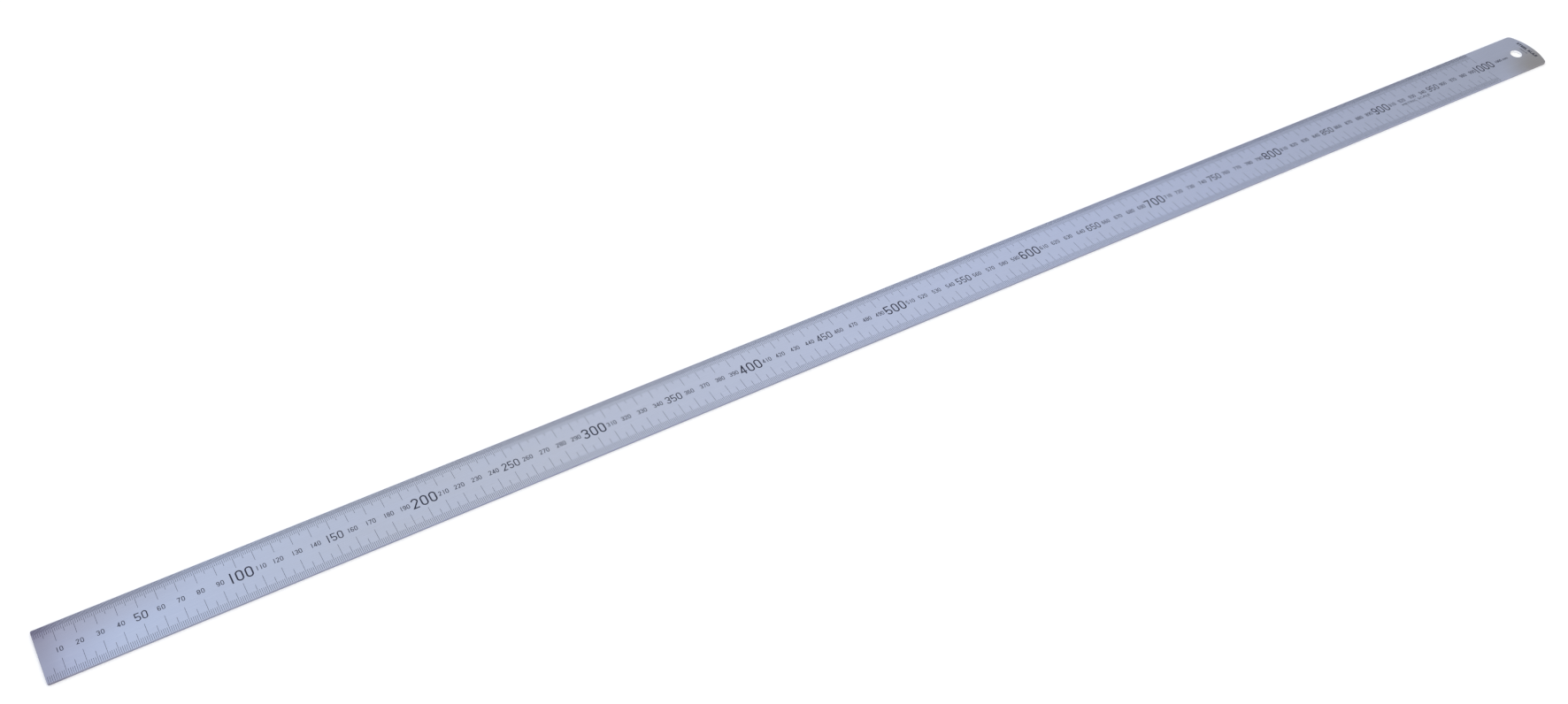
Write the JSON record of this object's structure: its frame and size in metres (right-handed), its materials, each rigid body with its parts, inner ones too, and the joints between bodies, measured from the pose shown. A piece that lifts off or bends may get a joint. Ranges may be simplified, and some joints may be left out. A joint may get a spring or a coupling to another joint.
{
  "type": "steel ruler",
  "caption": "One-metre flat steel rule with etched, black-filled graduations and numerals, a square zero end and a rounded end with a hanging hole.",
  "frame": {"origin": "under the middle of the blade, on the surface it lies on", "axes": "+X along the blade from the zero end to the hanging hole, +Y across it from the edge with the 1 mm scale to the edge that also has 0.5 mm marks, +Z out of the graduated face"},
  "size_m": [1.05, 0.035, 0.0015],
  "materials": {
    "satin_steel": "satin, fine grain along the blade",
    "black_fill": "matt black enamel in etched recesses"
  },
  "bodies": {
    "root": {"blade": "satin_steel", "numeral_100_hundreds": "black_fill", "numeral_100_tens": "black_fill", "numeral_100_units": "black_fill", "numeral_200_hundreds": "black_fill", "numeral_200_tens": "black_fill", "numeral_200_units": "black_fill", "numeral_300_hundreds": "black_fill", "numeral_300_tens": "black_fill", "numeral_300_units": "black_fill", "numeral_400_hundreds": "black_fill", "numeral_400_tens": "black_fill", "numeral_400_units": "black_fill", "numeral_500_hundreds": "black_fill", "numeral_500_tens": "black_fill", "numeral_500_units": "black_fill", "numeral_600_hundreds": "black_fill", "numeral_600_tens": "black_fill", "numeral_600_units": "black_fill", "numeral_700_hundreds": "black_fill", "numeral_700_tens": "black_fill", "numeral_700_units": "black_fill", "numeral_800_hundreds": "black_fill", "numeral_800_tens": "black_fill", "numeral_800_units": "black_fill", "numeral_900_hundreds": "black_fill", "numeral_900_tens": "black_fill", "numeral_900_units": "black_fill", "numeral_1000_thousands": "black_fill", "numeral_1000_hundreds": "black_fill", "numeral_1000_tens": "black_fill", "numeral_1000_units": "black_fill"}
  },
  "joints": []
}
